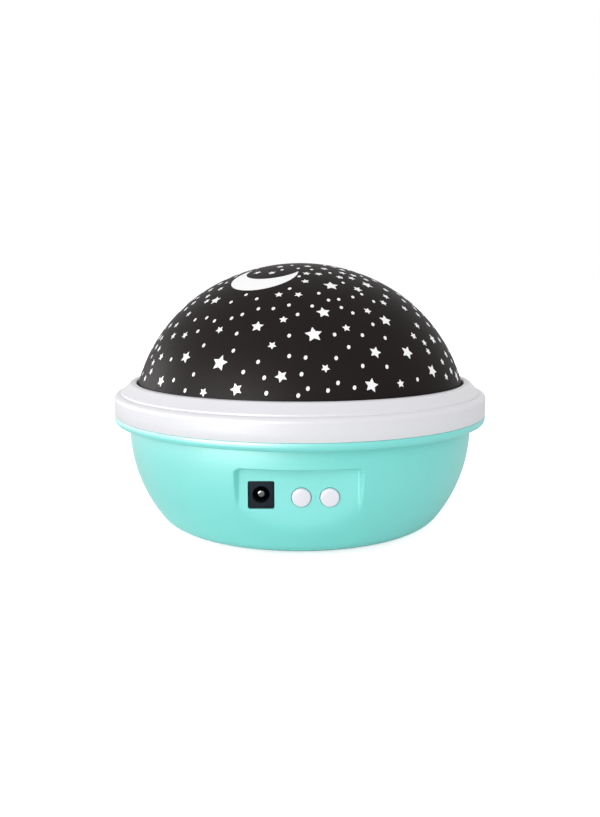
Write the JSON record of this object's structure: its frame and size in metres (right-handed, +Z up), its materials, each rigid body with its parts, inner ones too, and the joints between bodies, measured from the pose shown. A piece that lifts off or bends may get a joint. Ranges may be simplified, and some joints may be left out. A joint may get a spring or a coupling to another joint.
{
  "type": "star night light projector",
  "caption": "Round night light: a dark star-cut dome turned by a hidden motor on a mint bowl with a white ring, a power socket and push buttons.",
  "frame": {"origin": "centre of the footprint on the table, on the dome's axis, at the underside of the rubber feet", "axes": "+Z up along the dome's axis, -Y towards the control panel, +X to the right when facing the panel"},
  "size_m": [0.14, 0.14, 0.0979],
  "materials": {
    "mint_plastic": "satin moulded",
    "white_plastic": "satin moulded",
    "dome_print": "black print with clear stars, satin",
    "inner_white": "moulded",
    "nylon": "moulded",
    "button_plastic": "satin moulded",
    "black_plastic": "moulded",
    "board_green": "solder mask over laminate",
    "board_white": "white solder mask",
    "steel": "zinc plated",
    "nickel": "nickel plated",
    "rubber": "matte",
    "warm_lens": "moulded lamp",
    "red_lens": "moulded lamp",
    "green_lens": "moulded lamp",
    "blue_lens": "moulded lamp",
    "red_wire": "insulation",
    "black_wire": "insulation",
    "yellow_wire": "insulation",
    "sleeve_blue": "shrink sleeve"
  },
  "bodies": {
    "base": {"base_bowl": "mint_plastic", "bezel_ring": "white_plastic", "deck_plate": "inner_white", "glide_pads": "nylon", "gearbox_case": "inner_white", "motor_can": "steel", "motor_screws": "steel", "lamp_post": "inner_white", "lamp_post_screws": "steel", "lamp_board": "board_white", "warm_lamp": "warm_lens", "red_lamp": "red_lens", "green_lamp": "green_lens", "blue_lamp": "blue_lens", "main_board": "board_green", "board_screws": "steel", "jack_housing": "black_plastic", "jack_pin": "nickel", "jack_contacts": "nickel", "switch_body_left": "black_plastic", "switch_body_right": "black_plastic", "control_chip": "black_plastic", "capacitor": "sleeve_blue", "battery_box": "inner_white", "battery_box_screws": "steel", "battery_plates": "nickel", "battery_springs": "nickel", "rubber_feet": "rubber", "deck_screws": "steel", "ring_screws": "steel", "motor_wires": "red_wire", "battery_wires": "black_wire", "lamp_wires": "yellow_wire"},
    "turntable": {"turntable": "inner_white"},
    "dome": {"star_dome": "dome_print"},
    "pinion": {"pinion": "nylon", "motor_shaft": "steel"},
    "button_left": {"button_left": "button_plastic", "switch_plunger_left": "black_plastic"},
    "button_right": {"button_right": "button_plastic", "switch_plunger_right": "black_plastic"},
    "battery_door": {"battery_door": "mint_plastic"},
    "door_screw": {"door_screw": "steel"}
  },
  "joints": [
    {"name": "turntable_spin", "type": "hinge", "parent": "base", "child": "turntable", "pos_m": [0, 0, 0.0454], "axis": [0, 0, 1], "continuous": true},
    {"name": "dome_lift", "type": "slide", "parent": "turntable", "child": "dome", "axis": [0, 0, 1], "range_m": [0, 0.06]},
    {"name": "pinion_spin", "type": "hinge", "parent": "base", "child": "pinion", "pos_m": [0, 0.04375, 0.0454], "axis": [0, 0, 1], "continuous": true},
    {"name": "button_left_press", "type": "slide", "parent": "base", "child": "button_left", "axis": [0, 1, 0], "range_m": [0, 0.0005], "stiffness_N_per_m": 1600, "springref_m": -0.0003},
    {"name": "button_right_press", "type": "slide", "parent": "base", "child": "button_right", "axis": [0, 1, 0], "range_m": [0, 0.0005], "stiffness_N_per_m": 1600, "springref_m": -0.0003},
    {"name": "battery_door_swing", "type": "hinge", "parent": "base", "child": "battery_door", "pos_m": [-0.0285, 0, 0.0019], "axis": [0, 1, 0], "range_deg": [0, 75]},
    {"name": "door_screw_turn", "type": "hinge", "parent": "battery_door", "child": "door_screw", "pos_m": [0.0308, 0, 0.002], "axis": [0, 0, 1], "range_deg": [0, 1080]}
  ],
  "couplings": [
    {"joint": "pinion_spin", "follows": "turntable_spin", "ratio": 6}
  ]
}
